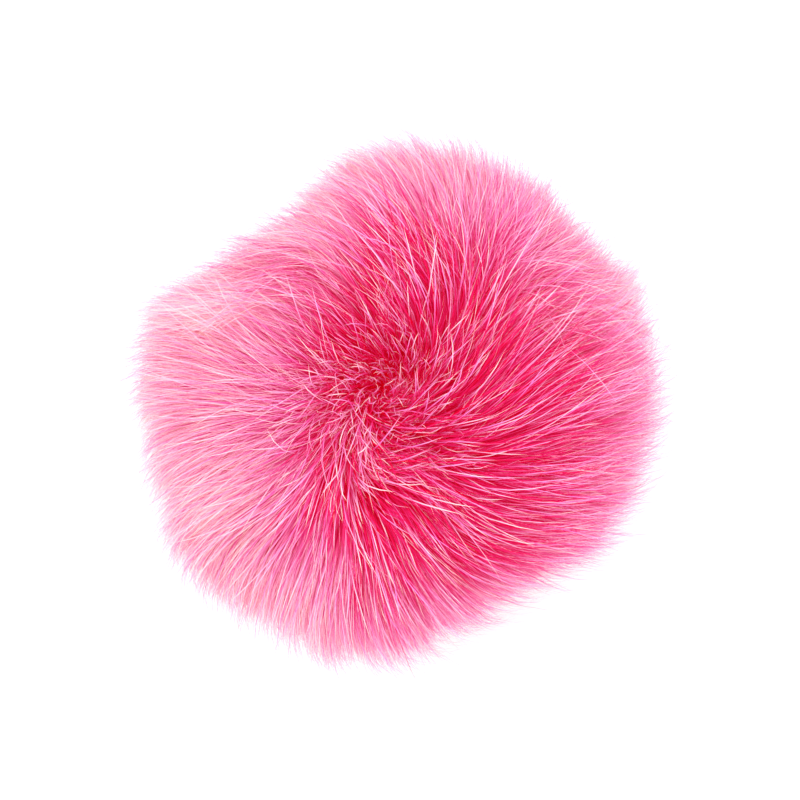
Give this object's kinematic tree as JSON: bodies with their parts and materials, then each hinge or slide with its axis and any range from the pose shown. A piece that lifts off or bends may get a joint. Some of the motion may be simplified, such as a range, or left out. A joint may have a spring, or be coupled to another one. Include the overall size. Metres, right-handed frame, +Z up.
{
  "type": "pom pom",
  "caption": "Round faux fur pom pom with long pile combed out from a crown whorl, an uneven outline and a small flat spot to lie on.",
  "frame": {"origin": "centre of the flat spot beneath, on the surface that the ball lies on", "axes": "+Z up through the crown, +Y towards the back lobe at the top of the view from above, +X to the right in that view"},
  "size_m": [0.1236, 0.1246, 0.1064],
  "materials": {
    "faux_fur": "long acrylic pile, dyed hot pink, crimson at the roots and pale pink at the tips"
  },
  "bodies": {
    "root": {"fur_ball": "faux_fur"}
  },
  "joints": []
}
